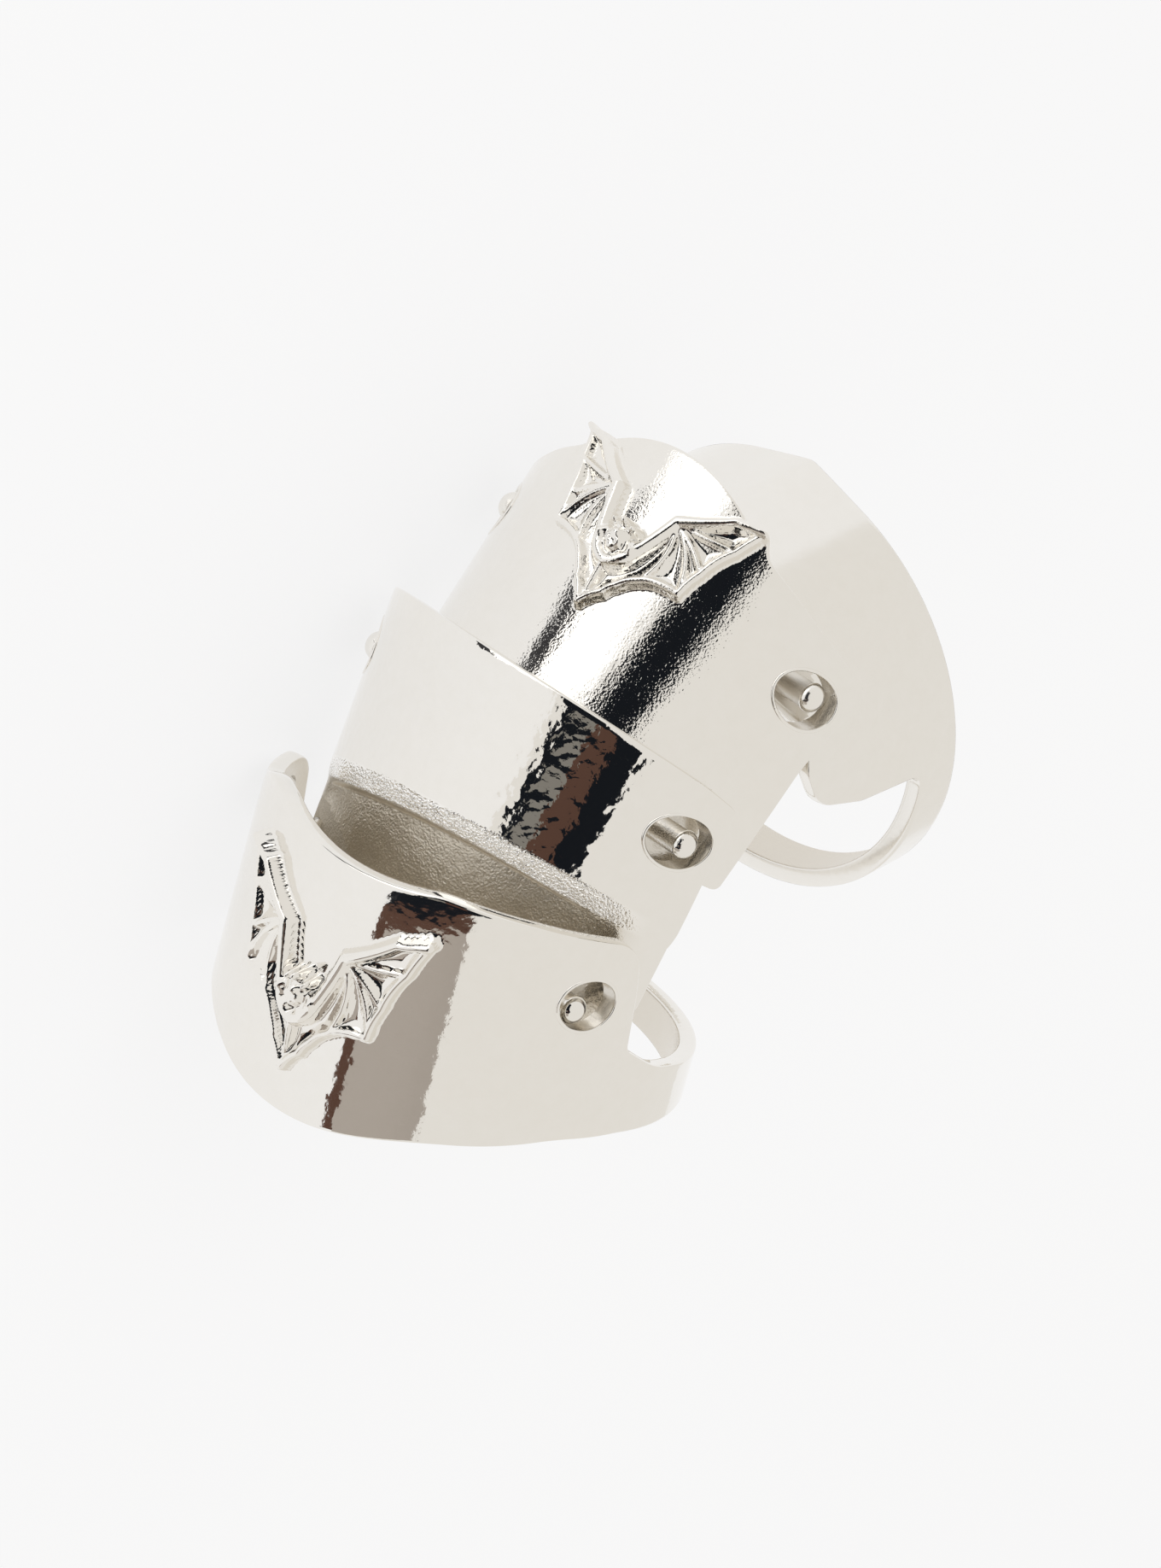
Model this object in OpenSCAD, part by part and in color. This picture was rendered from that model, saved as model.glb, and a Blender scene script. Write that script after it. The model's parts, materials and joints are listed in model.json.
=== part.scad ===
// Hinged knuckle ring: four cast lames on cross pins, lying on its side.
// x runs along the bore of the base band towards the fingertip, y towards the palm,
// z across the finger. Each lame is drawn from its own hand-side hinge.

/* [Base band] */
// Inner diameter of the base band
bore_d = 18.9; // [15:0.1:23]
// Wall of the base band
band_wall = 0.9; // [0.7:0.1:1.4]
// Length of the band over the back of the finger, from its rim to its hinge
band_back = 9.4; // [7:0.1:12]
// How far the band reaches past its hinge, under the knuckle plate
band_tongue = 1.5; // [0.8:0.1:1.8]
// How far the band's flanks reach past its hinge
flank_lip = 0.9; // [0.8:0.1:1.2]
// Width of the closed shank on the palm side
shank_w = 2.2; // [1.6:0.1:3.2]
// Depth of the band's flanks below the hinge
flank_drop = 6.6; // [5:0.1:7.5]
// How much the bore widens from the shank to the band's end over the back
bore_relief = 0.2; // [0.1:0.05:0.2]
// Height of the crest along the back of the band
crest_rise = 0.5; // [0.2:0.1:0.9]

/* [Plates] */
// Wall of the knuckle plate, the middle plate and the tip ring
plate_wall = 0.8; // [0.6:0.05:1.1]
// Radial play of the knuckle plate round the base band
knuckle_play = 0.3; // [0.1:0.05:0.5]
// Radial play of the middle plate round the knuckle plate
middle_play = 0.4; // [0.2:0.05:0.6]
// Outer diameter of the tip ring at its hinge
tip_d = 21.8; // [21:0.1:22.5]
// Taper of the knuckle plate, in mm of radius for each mm of length
knuckle_taper = 0.12; // [0.06:0.01:0.16]
// Taper of the middle plate, in mm of radius for each mm of length
middle_taper = 0.16; // [0.08:0.01:0.2]
// Flare of the tip ring, in mm of radius for each mm of length
tip_flare = 0; // [-0.02:0.01:0.03]
// Length of the knuckle plate from hinge to hinge
knuckle_pitch = 8.85; // [7:0.05:12]
// Length of the middle plate from hinge to hinge
middle_pitch = 8.7; // [7:0.05:12]
// How far the middle plate's hinge is shifted towards the back of the finger
knuckle_rise = 0.8; // [0:0.1:1.5]
// How far the tip ring's hinge is shifted towards the back of the finger
middle_rise = 1.0; // [0:0.1:1.5]
// How far a plate reaches past its next hinge
plate_tongue = 1.7; // [1:0.1:2.2]

/* [Rims] */
// Rim corner of the knuckle plate behind its hinge
knuckle_back = 1.8; // [1.6:0.1:3]
// Rim corner of the middle plate behind its hinge
middle_back = 2.4; // [1.8:0.1:3]
// Rim corner of the tip ring behind its hinge
tip_back = 3.3; // [2.4:0.1:4]
// Palm edge of the knuckle plate below its hinge
knuckle_drop = 1.7; // [1.5:0.1:2.2]
// Palm edge of the middle plate below its hinge
middle_drop = 1.3; // [1.3:0.1:2]
// Palm edge of the tip ring's ears below the hinge
tip_drop = 2.6; // [2.2:0.1:3.2]

/* [Tip ring] */
// Length of the tip ring from its hinge to its end, at the flanks
tip_length = 6.4; // [5.5:0.1:9]
// Width of the tip ring's shank on the palm side
tip_shank_w = 1.9; // [1.4:0.1:3]

/* [Neck] */
// Start of the shoulder on the middle plate, from its hinge
shoulder_x = 4.3; // [3.5:0.1:5]
// Depth of the neck below the shoulder
neck_depth = 0.9; // [0.4:0.1:1]

/* [Hinges] */
// Diameter of the cast pegs
peg_d = 1.24; // [1:0.02:1.6]
// Height of the pegs' domed tops
peg_dome = 0.3; // [0.1:0.05:0.5]
// How far the tip ring's pegs end below the ring's outside
tip_sink = 0.4; // [0:0.05:0.6]
// Diameter of the holes that the pegs stand in
hole_d = 2.62; // [2.4:0.02:3]
// Bend of the knuckle plate from the base band as stored
bend_knuckle = 35; // [0:1:45]
// Bend of the middle plate from the knuckle plate as stored
bend_middle = 18.5; // [0:0.5:40]
// Bend of the tip ring from the middle plate as stored
bend_tip = 24; // [0:1:45]

/* [Bats] */
// Height of the bat's wing skin over the plate
skin_h = 0.3; // [0.2:0.05:0.5]
// Height of the ribs and edges over the plate
rib_h = 0.6; // [0.5:0.05:0.9]
// Width of the ribs
rib_w = 0.45; // [0.3:0.05:0.6]
// Half span of the bats
bat_span = 5.1; // [4:0.1:6]
// Length of the knuckle plate's bat from wing tips to tail
knuckle_bat_length = 7; // [5:0.1:8]
// Length of the tip ring's bat from wing tips to tail
tip_bat_length = 8.5; // [5:0.1:9]
// Wing tips of the knuckle plate's bat from the hinge
knuckle_bat_x = -3.8; // [-4.5:0.1:-2]
// Wing tips of the tip ring's bat from the hinge
tip_bat_x = -2; // [-3:0.1:0]
// Diameter of the bats' skulls
skull_d = 1.6; // [1:0.1:2]

/* [Hidden] */
$fn = 96;
silver = [0.84, 0.83, 0.80];
reach = 20;          // half height of the prisms that cut the outlines
band_r = bore_d / 2 + band_wall;
band_axis = 7.15;    // depth of each bore's axis below its hinge
knuckle_axis = 6.2;
middle_axis = 6.1;
tip_axis = 4.2;
knuckle_r = band_r + plate_wall + knuckle_play;
knuckle_end_r = knuckle_r - knuckle_taper * knuckle_pitch;
middle_r = knuckle_end_r + plate_wall + middle_play;
tip_r = tip_d / 2;
neck_shift = 3;      // how much deeper the neck's own axis lies
// Hole centres from the pegs, as the loose lames hang: along and across the lame
knuckle_hole = [0.3, -0.2];
middle_hole = [0, -0.35];
tip_hole = [-0.5, 0.15];
// Half of a bat from the neck round the wing to the tail: share of length, of span
wing = [
    [0.7, 0], [0.6, 0.17], [0.24, 0.35], [0.03, 0.76], [0, 0.9],
    [-0.02, 1], [0.18, 0.89], [0.42, 0.76], [0.61, 0.7], [0.63, 0.5],
    [0.68, 0.36], [0.78, 0.22], [0.87, 0.14], [1, 0]];
// Ribs of a wing: from point, to point of the list above
ribs = [[0, 1], [1, 2], [2, 3], [3, 4], [4, 5], [5, 6], [6, 7], [7, 8], [8, 9],
    [9, 10], [10, 11], [11, 12], [12, 13], [2, 8], [2, 7], [0, 13]];
skull = 0.55;        // place of the skull, share of length

function unit(v) = v / norm(v);

// Arc of radius r that rounds the corner b between its neighbours a and c
function fillet(a, b, c, r, steps = 6) =
    let (u = unit(a - b), w = unit(c - b), half = acos(u * w) / 2,
         middle = b + unit(u + w) * r / sin(half),
         p = b + u * r / tan(half) - middle, q = b + w * r / tan(half) - middle,
         start = atan2(p.y, p.x), sweep = (180 - 2 * half) * sign(cross(p, q)))
    [for (i = [0:steps]) middle + r * [cos(start + sweep * i / steps), sin(start + sweep * i / steps)]];

// Outline through corners, each a row of x, y and corner radius
function rounded(rows) =
    let (n = len(rows), p = [for (row = rows) [row[0], row[1]]])
    [for (i = [0:n - 1]) each rows[i][2] > 0
        ? fillet(p[(i + n - 1) % n], p[i], p[(i + 1) % n], rows[i][2]) : [p[i]]];

// Solid of revolution about a line along x, axis_y below the hinge,
// from a profile of rows x, radius
module turned(axis_y, rows) {
    translate([0, axis_y, 0]) rotate([0, 90, 0])
        rotate_extrude()
            polygon(concat([for (row = rows) [row[1], row[0]]],
                [[0, rows[len(rows) - 1][0]], [0, rows[0][0]]]));
}

// Straight cone from x0 to x1 with radius r at the hinge, less taper for each mm
module cone(axis_y, r, taper, x0, x1) {
    turned(axis_y, [[x0, r - taper * x0], [x1, r - taper * x1]]);
}

module prism(points) {
    linear_extrude(2 * reach, center = true) polygon(points);
}

// Half width of a round lame of radius r, level with a hinge above its axis
function half_width(r, axis_y) = sqrt(pow(r, 2) - pow(axis_y, 2));

// A pair of cross pegs with domed tops that stand flush with the lame outside them
module pegs(at, tip_z) {
    dome_r = (pow(peg_d / 2, 2) + pow(peg_dome, 2)) / (2 * peg_dome);
    for (side = [0, 180]) translate([at.x, at.y, 0]) rotate([side, 0, 0]) {
        cylinder(d = peg_d, h = tip_z);
        intersection() {
            translate([0, 0, tip_z - 1]) cylinder(d = peg_d, h = 3);
            translate([0, 0, tip_z + peg_dome - dome_r]) sphere(r = dome_r);
        }
    }
}

// The loose holes that another lame's pegs stand in
module holes(at) {
    translate([at.x, at.y, 0]) cylinder(d = hole_d, h = 2 * reach, center = true);
}

module base_band_outline() {
    inner_x = -band_back + shank_w;
    far_y = band_axis + band_r + 1;
    top_y = band_axis - band_r - 2;
    prism(rounded([
        [-band_back, top_y, 0],
        [band_tongue, top_y, 0],
        [band_tongue - 0.3, -1.4, 1],
        [flank_lip, 0.5, 0.6],
        [-0.4, 2.2, 1.5],
        [0.1, 3.9, 1],
        [-0.4, flank_drop - 0.9, 1.6],
        [-3.2, flank_drop, 2],
        [inner_x, flank_drop + 0.3, 0.8],
        [inner_x, far_y, 0],
        [-band_back, far_y, 0]]));
}

// Roof of two flats that meet in the crest and run out onto the round back
module crest() {
    lean = acos(band_r / (band_r + crest_rise));
    translate([-band_back, band_axis, 0]) rotate([0, 90, 0])
        linear_extrude(band_back + band_tongue)
            polygon([[0, 0],
                band_r * [sin(lean), -cos(lean)],
                [0, -band_r - crest_rise],
                band_r * [-sin(lean), -cos(lean)]]);
}

// Straight bore through the shank, which opens a little towards the knuckle
module bore() {
    inner_x = -band_back + shank_w;
    turned(band_axis, [
        [-band_back - 2, bore_d / 2],
        [inner_x, bore_d / 2],
        [band_tongue, bore_d / 2 + bore_relief],
        [band_tongue + 2, bore_d / 2 + bore_relief]]);
}

module base_band() {
    color(silver) translate([band_back - shank_w / 2, -band_axis, 0])
        difference() {
            union() {
                intersection() {
                    union() {
                        cone(band_axis, band_r, 0, -band_back - 1, band_tongue + 1);
                        crest();
                    }
                    base_band_outline();
                }
                pegs([0, 0], half_width(knuckle_r, knuckle_axis));
            }
            bore();
        }
}

// Rib between two points of a wing, drawn with its ends squared off
module rib(p, q, w = rib_w) {
    n = unit([p.y - q.y, q.x - p.x]) * w / 2;
    along = unit(q - p) * w / 4;
    polygon([p - along + n, q + along + n, q + along - n, p - along - n]);
}

function wing_point(i, length) = [wing[i][0] * length, wing[i][1] * bat_span];

// Half of the bat seen from above, from its neck round the wing to its tail
module wing_shape(length) {
    polygon([for (i = [0:len(wing) - 1]) wing_point(i, length)]);
}

module both_wings() {
    children();
    mirror([0, 1]) children();
}

// Everything over the back of a plate inside a flat shape of x, z
module over_back() {
    rotate([90, 0, 0]) linear_extrude(reach) children();
}

// Shell between two heights over a plate
module shell(axis_y, r, taper, low, high, x0, x1) {
    difference() {
        cone(axis_y, r + high, taper, x0, x1);
        cone(axis_y, r + low, taper, x0 - 1, x1 + 1);
    }
}

// Cast bat with its wing tips at x, its tail towards the fingertip
module bat(x, length, axis_y, r, taper) {
    skull_x = x + skull * length;
    skull_y = axis_y - r + taper * skull_x;
    x0 = x - 1;
    x1 = x + length + 1;
    intersection() {
        shell(axis_y, r, taper, -0.4, skin_h, x0, x1);
        over_back() translate([x, 0]) both_wings() wing_shape(length);
    }
    intersection() {
        shell(axis_y, r, taper, -0.4, rib_h, x0, x1);
        over_back() translate([x, 0]) both_wings() intersection() {
            wing_shape(length);
            for (row = ribs) rib(wing_point(row[0], length), wing_point(row[1], length));
        }
    }
    translate([skull_x, skull_y, 0]) {
        sphere(d = skull_d);
        for (side = [-1, 1]) translate([-skull_d * 0.2, -skull_d * 0.15, side * skull_d * 0.26])
            rotate([90, 0, 0]) rotate([side * -18, -30, 0])
                cylinder(d1 = skull_d * 0.5, d2 = 0.16, h = skull_d * 0.65);
    }
}

module knuckle_outline() {
    tip_x = knuckle_pitch + plate_tongue;
    prism(rounded([
        [-knuckle_back - 4.2, -6.6, 0],
        [tip_x, -7, 0],
        [tip_x - 0.2, -0.4, 1.5],
        [knuckle_pitch + 0.6, knuckle_drop + 0.3, 1],
        [knuckle_pitch + 0.15, knuckle_drop + 1.6, 0.4],
        [2.6, knuckle_drop + 0.15, 8],
        [-knuckle_back, knuckle_drop - 0.2, 0.6],
        [-knuckle_back - 0.7, -2, 6],
        [-knuckle_back - 1.5, -4.3, 3]]));
}

module knuckle_plate() {
    at = [knuckle_pitch, -knuckle_rise];
    tip_z = half_width(middle_r, middle_axis);
    x0 = -knuckle_back - 6;
    x1 = knuckle_pitch + plate_tongue + 1;
    color(silver) at_knuckle() difference() {
        union() {
            intersection() {
                cone(knuckle_axis, knuckle_r, knuckle_taper, x0, x1);
                knuckle_outline();
            }
            bat(knuckle_bat_x, knuckle_bat_length, knuckle_axis, knuckle_r, knuckle_taper);
            pegs(at, tip_z);
        }
        cone(knuckle_axis, knuckle_r - plate_wall, knuckle_taper, x0 - 1, x1 + 1);
        holes(knuckle_hole);
    }
}

module middle_outline() {
    tip_x = middle_pitch + plate_tongue;
    prism(rounded([
        [-middle_back - 1, -7, 0],
        [tip_x, -7, 0],
        [tip_x - 0.2, -0.4, 1.5],
        [middle_pitch + 0.3, middle_drop + 0.9, 1.2],
        [middle_pitch - 0.8, middle_drop + 1.9, 0.8],
        [2.4, middle_drop + 0.65, 8],
        [-middle_back, middle_drop - 0.5, 0.4],
        [-middle_back - 0.4, -0.9, 6],
        [-middle_back - 0.8, -4.4, 6]]));
}

// The plate's cone, let down along the back past the shoulder into a neck
module necked(inset, x0, x1) {
    neck_axis = middle_axis + neck_shift;
    neck_r = middle_r - middle_taper * shoulder_x + neck_shift - neck_depth;
    intersection() {
        cone(middle_axis, middle_r - inset, middle_taper, x0, x1);
        turned(neck_axis, [
            [x0 - 1, neck_r + 4],
            [shoulder_x - 1.2 + inset / 2, neck_r + 4],
            [shoulder_x + 0.1 + inset / 2, neck_r - inset],
            [x1 + 1, neck_r - inset - middle_taper * (x1 + 1 - shoulder_x)]]);
    }
}

module middle_plate() {
    at = [middle_pitch, -middle_rise];
    tip_z = half_width(tip_r, tip_axis) - tip_sink;
    x0 = -middle_back - 3;
    x1 = middle_pitch + plate_tongue + 1;
    color(silver) at_middle() difference() {
        union() {
            intersection() {
                necked(0, x0, x1);
                middle_outline();
            }
            pegs(at, tip_z);
        }
        necked(plate_wall, x0 - 1, x1 + 1);
        holes(middle_hole);
    }
}

module tip_outline() {
    far_y = tip_axis + tip_r + 1;
    prism(rounded([
        [-tip_back - 0.3, -7.4, 0],
        [tip_length + 2.9, -7.4, 0],
        [tip_length + 1.1, -4.9, 6],
        [tip_length, 0.2, 8],
        [tip_length, 3.6, 8],
        [tip_length + 1.2, far_y, 0],
        [tip_length + 1.2 - tip_shank_w, far_y, 0],
        [tip_length - 2.4, 8, 6],
        [tip_length - 3.1, 5.2, 6],
        [tip_length - 4.4, tip_drop + 0.3, 0.6],
        [tip_length - 7, tip_drop, 4],
        [-tip_back - 0.1, tip_drop - 0.5, 1.7],
        [-tip_back - 0.8, -2.6, 8],
        [-tip_back - 1.1, -5.4, 1.2]]));
}

module tip_ring() {
    x0 = -tip_back - 3;
    x1 = tip_length + 5;
    color(silver) at_tip() difference() {
        union() {
            intersection() {
                cone(tip_axis, tip_r, -tip_flare, x0, x1);
                tip_outline();
            }
            bat(tip_bat_x, tip_bat_length, tip_axis, tip_r, -tip_flare);
        }
        cone(tip_axis, tip_r - plate_wall, -tip_flare, x0 - 1, x1 + 1);
        holes(tip_hole);
    }
}

// Each lame hangs from the hinge of the lame before it
module at_knuckle() {
    translate([band_back - shank_w / 2, -band_axis, 0]) rotate([0, 0, bend_knuckle]) children();
}

module at_middle() {
    at_knuckle() translate([knuckle_pitch, -knuckle_rise, 0]) rotate([0, 0, bend_middle]) children();
}

module at_tip() {
    at_middle() translate([middle_pitch, -middle_rise, 0]) rotate([0, 0, bend_tip]) children();
}

base_band();
knuckle_plate();
middle_plate();
tip_ring();
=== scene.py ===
"""Looks for the hinged knuckle ring: cast and polished lames with bats in relief."""

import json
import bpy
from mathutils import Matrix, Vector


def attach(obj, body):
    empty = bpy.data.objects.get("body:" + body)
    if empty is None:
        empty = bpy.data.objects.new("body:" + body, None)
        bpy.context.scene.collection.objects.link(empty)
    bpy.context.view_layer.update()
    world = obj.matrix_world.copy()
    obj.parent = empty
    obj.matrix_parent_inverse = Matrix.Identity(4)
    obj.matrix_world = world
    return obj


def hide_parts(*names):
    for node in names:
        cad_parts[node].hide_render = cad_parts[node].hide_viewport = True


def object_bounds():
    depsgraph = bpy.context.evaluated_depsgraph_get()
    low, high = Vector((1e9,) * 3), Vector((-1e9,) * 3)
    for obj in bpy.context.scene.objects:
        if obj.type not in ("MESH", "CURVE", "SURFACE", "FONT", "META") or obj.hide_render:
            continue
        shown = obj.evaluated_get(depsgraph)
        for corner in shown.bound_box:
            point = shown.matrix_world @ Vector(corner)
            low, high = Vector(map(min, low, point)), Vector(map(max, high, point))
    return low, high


bl_info = {
    "name": "Hinged knuckle ring",
    "version": (1, 0, 0),
    "blender": (4, 5, 0),
    "location": "View3D > Sidebar > Knuckle ring",
    "description": "Builds the four cast lames of a hinged knuckle ring and their studio",
    "category": "Add Mesh",
}

import bmesh
import bpy
import numpy as np
from bpy.props import FloatProperty, FloatVectorProperty, PointerProperty
from mathutils import Matrix, Vector

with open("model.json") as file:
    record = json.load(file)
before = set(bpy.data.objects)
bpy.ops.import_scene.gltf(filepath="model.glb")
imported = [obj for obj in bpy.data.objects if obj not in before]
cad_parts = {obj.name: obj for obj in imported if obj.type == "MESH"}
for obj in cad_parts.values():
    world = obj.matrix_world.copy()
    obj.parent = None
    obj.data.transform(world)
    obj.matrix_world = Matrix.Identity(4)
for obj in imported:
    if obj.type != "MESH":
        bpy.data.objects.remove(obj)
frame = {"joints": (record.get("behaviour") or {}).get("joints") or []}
CAD_BOX = [[float(v) for v in corner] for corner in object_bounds()]

MM = 1000.0
TINY = 1e-12

# Each lame's body, its own hinge, and its bend from the base band as stored in degrees
LAMES = {
    "base_band": ("band", "knuckle_hinge", 0),
    "knuckle_plate": ("knuckle", "knuckle_hinge", 35),
    "middle_plate": ("middle", "middle_hinge", 53.5),
    "tip_ring": ("tip", "tip_hinge", 77.5)}
# Middles of the loose holes from the lame's own hinge, in mm
HOLES = {
    "knuckle_plate": (0.3, -0.2), "middle_plate": (0.0, -0.35), "tip_ring": (-0.5, 0.15)}
# How deep a peg's root lies below its lame's outside, in mm
PEG_ROOT = 0.5
# Reach of the dull ground round a peg and of the peg's own shaft from the peg's axis,
# both of which get painted shade, and the height of its head, which stays bright, in mm
GROUND, SHAFT, PEG_HEAD = 1.75, 0.95, 0.9
# Share of the cast look, a rough skin whose darker colour is painted shade, that the
# inside of a lame has
INSIDE = 0.6

# Outlines of the lames seen from the side: x towards the fingertip and y towards
# the palm from the lame's own hinge, and the radius of the corner, all in mm.
# Each starts at its upper corner on the hand side and goes round by the tip side.
BAND_OUTLINE = [
    (-9.4, -5.2, 0), (1.5, -5.2, 0), (1.2, -1.4, 1), (0.9, 0.5, 0.6),
    (-0.4, 2.2, 1.5), (0.1, 3.9, 1), (-0.4, 5.7, 1.6), (-3.2, 6.6, 2),
    (-7.2, 6.9, 0.8), (-7.2, 18.5, 0), (-9.4, 18.5, 0)]
KNUCKLE_OUTLINE = [
    (-6.0, -6.6, 0), (10.55, -7, 0), (10.35, -0.4, 1.5), (9.45, 2.0, 1),
    (9.0, 3.3, 0.4), (2.6, 1.85, 8), (-1.8, 1.5, 0.6), (-2.5, -2, 6),
    (-3.3, -4.3, 3)]
MIDDLE_OUTLINE = [
    (-3.4, -7, 0), (10.4, -7, 0), (10.2, -0.4, 1.5), (9.0, 2.2, 1.2),
    (7.9, 3.2, 0.8), (2.4, 1.95, 8), (-2.4, 0.8, 0.4), (-2.8, -0.9, 6),
    (-3.2, -4.4, 6)]
TIP_OUTLINE = [
    (-3.6, -7.4, 0), (9.3, -7.4, 0), (7.5, -4.9, 6), (6.4, 0.2, 8),
    (6.4, 3.6, 8), (7.6, 15.95, 0), (5.7, 15.95, 0), (4.0, 8, 6),
    (3.3, 5.2, 6), (2.0, 2.9, 0.6), (-0.6, 2.6, 4), (-3.4, 2.1, 1.7),
    (-4.1, -2.6, 8), (-4.4, -5.4, 1.2)]

# Half of a bat, from its neck round the wing to its tail: share of length, share
# of half span, and how far the edge to the next point bows, as a share of its run
WING = [
    (0.70, 0.00, 0.10), (0.60, 0.17, 0.02), (0.24, 0.35, 0.03), (0.03, 0.76, 0.04),
    (0.00, 0.90, 0.00), (-0.02, 1.00, 0.02), (0.18, 0.89, 0.05), (0.42, 0.76, 0.04),
    (0.61, 0.70, 0.04), (0.63, 0.50, 0.06), (0.68, 0.36, 0.06), (0.78, 0.22, 0.06),
    (0.87, 0.14, 0.06), (1.00, 0.00, 0.00)]
# Finger bones of a wing: from point, to point of the list above, and the bow
BONES = [(2, 8, 0.12), (2, 7, 0.05), (2, 6, -0.03), (2, 10, 0.12)]
# The arm along the wing's leading edge, from the neck over the shoulder to the tip
ARM = [(0, 1, -0.10), (1, 2, -0.02), (2, 3, -0.03), (3, 4, -0.04), (4, 5, 0.0)]
# Lumps of the head and of the fur beside it: height as a share of the head's, place
# past the skull as a share of length, place to the side, half length, half width in mm
LUMPS = [
    (1.0, 0.0, 0.0, 0.95, 0.72), (1.1, -0.10, 0.0, 0.38, 0.3),
    (0.82, 0.02, 0.85, 0.62, 0.5), (0.72, 0.09, 0.5, 0.5, 0.5)]
# Half widths of the beads on a wing's edge and on its bones, in mm
EDGE_BEAD, BONE_BEAD = 0.25, 0.2
# How deep the skin sinks between the bones, and how far round a bat its height is
# worked out, in mm
SKIN_SINK, MARGIN = 0.14, 0.8

# Colours of the screens round the ring
BLACK, BROWN, GREY = (0.010, 0.012, 0.016), (0.11, 0.06, 0.045), (0.25, 0.24, 0.22)
# Screens that only show in reflections: name, lower row and upper row of direction and
# height over the horizon in degrees, colour and glow. The dark ones stand for the room
# behind the camera, the last two for a bright strip of the table and its edge.
SCREENS = [
    ("dark room", [(-68, 3), (-52, 3), (-30, 4), (-13, 5)],
     [(-68, 25), (-52, 26), (-30, 30), (-13, 38)], BLACK, 0),
    ("dark foot", [(-13, 6), (-3, 5)], [(-13, 9), (-3, 9)], BLACK, 0),
    ("grey corner", [(-13, 9), (-3, 9)], [(-13, 19), (-3, 20)], GREY, 0),
    ("brown corner", [(-13, 19), (-3, 20)], [(-13, 29), (-3, 31)], BROWN, 0),
    ("dark corner", [(-13, 29), (-3, 31)], [(-13, 42), (-3, 42)], BLACK, 0),
    ("dark side", [(-3, 3), (7, -5)], [(-3, 42), (7, 34)], BLACK, 0),
    ("brown side", [(7, -5), (10, -6)], [(7, 34), (10, 32)], BROWN, 0),
    ("grey side", [(10, -3), (20, -3), (34, -3)], [(10, 32), (20, 30), (34, 28)],
     (0.47, 0.43, 0.40), 0),
    ("brown edge", [(10, -6), (24, -6)], [(10, -3), (24, -3)], BROWN, 0),
    ("bright table", [(-90, -23), (-60, -23), (-40, -23)],
     [(-90, -3), (-60, -3), (-40, -3)], (0.9, 0.9, 0.9), 0.6),
    ("table's edge", [(-85, -29), (-60, -29), (-43, -29)],
     [(-85, -23), (-60, -23), (-43, -23)], (0.05, 0.05, 0.055), 0)]
# Middle of the screens and half side of the floor, in m
MIDDLE, FLOOR = (0.0149, 0.0, 0.0), 1.5
# Place and side of the large soft light, in m
KEY_PLACE, KEY_SIDE = (0.10, -0.22, 0.30), 0.30
# The photograph's view: direction of the finger at the middle hinge, the camera's
# height over the ring's side and its roll in degrees, what it aims at to the right of
# the middle hinge and below it in mm, its distance in m and its lens
ALONG, TILT, ROLL = 46.8, 32.241, 56.935
AIM, DISTANCE, LENS = (2.24, 1.77), 0.6, 310.6


def number(name, told, value):
    """A plain number among the settings."""
    return FloatProperty(name=name, description=told, default=value)


def length(name, told, value):
    """A length among the settings, in m."""
    return FloatProperty(name=name, description=told, default=value, unit="LENGTH")


def colour(name, told, value):
    """A colour among the settings."""
    return FloatVectorProperty(
        name=name, description=told, default=value, subtype="COLOR", min=0.0, max=1.0)


class BandSizes(bpy.types.PropertyGroup):
    """Sizes of the base band."""

    bore: length("Bore", "Inner diameter of the base band", 0.0189)
    wall: length("Wall", "Wall of the base band", 0.0009)
    axis: length("Axis depth", "Depth of the bore's axis below the hinge", 0.00715)
    crest: length("Crest", "Height of the crest along the back", 0.0005)
    relief: length("Bore relief", "How much the bore widens towards the knuckle", 0.0002)
    shank: length("Shank end", "End of the closed shank, from the hinge", -0.0072)


class KnuckleSizes(bpy.types.PropertyGroup):
    """Sizes of the knuckle plate."""

    radius: length("Radius", "Outer radius at the hinge", 0.01145)
    taper: number("Taper", "Radius lost for each unit of length", 0.12)
    axis: length("Axis depth", "Depth of the plate's axis below the hinge", 0.0062)


class MiddleSizes(bpy.types.PropertyGroup):
    """Sizes of the middle plate and its neck."""

    radius: length("Radius", "Outer radius at the hinge", 0.011588)
    taper: number("Taper", "Radius lost for each unit of length", 0.16)
    axis: length("Axis depth", "Depth of the plate's axis below the hinge", 0.0061)
    shoulder: length("Shoulder", "Start of the shoulder, from the hinge", 0.0043)
    neck: length("Neck depth", "Depth of the neck below the shoulder", 0.0009)
    shift: length("Neck shift", "How much deeper the neck's own axis lies", 0.003)


class TipSizes(bpy.types.PropertyGroup):
    """Sizes of the tip ring."""

    radius: length("Radius", "Outer radius at the hinge", 0.0109)
    taper: number("Taper", "Radius lost for each unit of length", 0.0)
    axis: length("Axis depth", "Depth of the ring's axis below the hinge", 0.0042)


class CastingSizes(bpy.types.PropertyGroup):
    """Sizes that the lames share."""

    wall: length("Wall", "Wall of the plates and the tip ring", 0.0008)
    rim: length("Rim rounding", "How far a rim bows out between its two edges", 0.00013)
    peg: length("Peg", "Diameter of the cast pegs", 0.00124)
    dome: length("Peg rise", "How far a peg stands over the plate round it", 0.0003)
    hole: length("Hole", "Diameter of the holes that the pegs stand in", 0.00262)
    lip: length("Hole lip", "Thickness of the rolled lip round a hole", 0.00009)


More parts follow.
